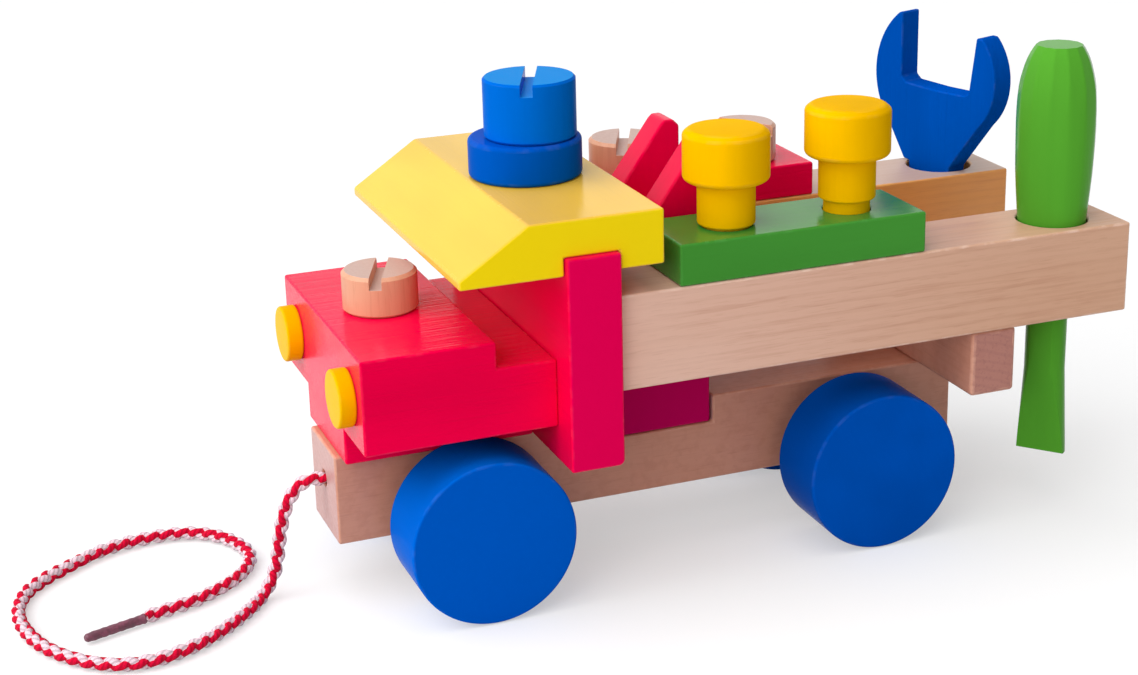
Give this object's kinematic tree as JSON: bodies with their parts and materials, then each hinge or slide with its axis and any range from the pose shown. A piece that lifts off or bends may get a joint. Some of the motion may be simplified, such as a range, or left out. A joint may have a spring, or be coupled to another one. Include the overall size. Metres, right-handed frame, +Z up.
{
  "type": "wooden construction truck",
  "caption": "Painted wooden pull-along truck with lift-out hammer, wrench and screwdriver, hammer pegs, slotted wooden screws and a braided pull cord.",
  "frame": {"origin": "middle of the truck's box on the floor, without the cord", "axes": "+X forward, +Y to the truck's left side, +Z up"},
  "size_m": [0.408, 0.139, 0.1815],
  "materials": {
    "natural_wood": "satin clear lacquer on pale hardwood",
    "red_paint": "gloss red paint on wood",
    "yellow_paint": "gloss yellow paint on wood",
    "blue_paint": "gloss blue paint on wood",
    "green_paint": "gloss green paint on wood",
    "braided_cord": "red and white braided cotton",
    "cord_end": "bound and stiffened cord end"
  },
  "bodies": {
    "truck": {"chassis_beam": "natural_wood", "hood_block": "red_paint", "headlight_left": "yellow_paint", "headlight_right": "yellow_paint", "cab_plate": "red_paint", "cab_roof": "yellow_paint", "roof_ring": "blue_paint", "left_rail": "natural_wood", "right_rail": "natural_wood", "rear_crossbar": "natural_wood", "green_strip": "green_paint", "red_strip": "red_paint", "rail_dowels": "natural_wood", "crossbar_dowels": "natural_wood", "pull_cord": "braided_cord", "cord_sleeve": "cord_end"},
    "front_wheelset": {"front_axle": "natural_wood", "front_left_wheel": "blue_paint", "front_right_wheel": "blue_paint"},
    "rear_wheelset": {"rear_axle": "natural_wood", "rear_left_wheel": "blue_paint", "rear_right_wheel": "blue_paint"},
    "hood_screw_turn": {"hood_screw": "natural_wood"},
    "roof_bolt_turn": {"roof_bolt": "blue_paint"},
    "strip_screw_front_turn": {"strip_screw_front": "natural_wood"},
    "strip_screw_rear_turn": {"strip_screw_rear": "natural_wood"},
    "peg_front_drive": {"peg_front": "yellow_paint"},
    "peg_rear_drive": {"peg_rear": "yellow_paint"},
    "hammer": {"hammer_head": "red_paint", "hammer_handle": "natural_wood"},
    "wrench_tool": {"wrench": "blue_paint"},
    "screwdriver_tool": {"screwdriver": "green_paint"}
  },
  "joints": [
    {"name": "front_wheels_roll", "type": "hinge", "parent": "truck", "child": "front_wheelset", "pos_m": [0.10025, 0.00499, 0.03], "axis": [0, 1, 0], "continuous": true},
    {"name": "rear_wheels_roll", "type": "hinge", "parent": "truck", "child": "rear_wheelset", "pos_m": [-0.05175, 0.00499, 0.03], "axis": [0, 1, 0], "continuous": true},
    {"name": "hood_screw_spin", "type": "hinge", "parent": "truck", "child": "hood_screw_turn", "pos_m": [0.12195, 0.00499, 0.11], "axis": [0, 0, 1], "continuous": true},
    {"name": "roof_bolt_spin", "type": "hinge", "parent": "truck", "child": "roof_bolt_turn", "pos_m": [0.0649, 0.00749, 0.17], "axis": [0, 0, 1], "continuous": true},
    {"name": "strip_screw_front_spin", "type": "hinge", "parent": "truck", "child": "strip_screw_front_turn", "pos_m": [0.01135, -0.03751, 0.135], "axis": [0, 0, 1], "continuous": true},
    {"name": "strip_screw_rear_spin", "type": "hinge", "parent": "truck", "child": "strip_screw_rear_turn", "pos_m": [-0.03865, -0.03751, 0.135], "axis": [0, 0, 1], "continuous": true},
    {"name": "peg_front_slide", "type": "slide", "parent": "truck", "child": "peg_front_drive", "axis": [0, 0, 1], "range_m": [-0.0005, 0.036]},
    {"name": "peg_rear_slide", "type": "slide", "parent": "truck", "child": "peg_rear_drive", "axis": [0, 0, 1], "range_m": [-0.0041, 0.032]},
    {"name": "hammer_lift", "type": "slide", "parent": "truck", "child": "hammer", "axis": [0, 0, 1], "range_m": [0, 0.08]},
    {"name": "wrench_lift", "type": "slide", "parent": "truck", "child": "wrench_tool", "axis": [0, 0, 1], "range_m": [0, 0.065]},
    {"name": "screwdriver_lift", "type": "slide", "parent": "truck", "child": "screwdriver_tool", "axis": [0, 0, 1], "range_m": [0, 0.1]}
  ]
}
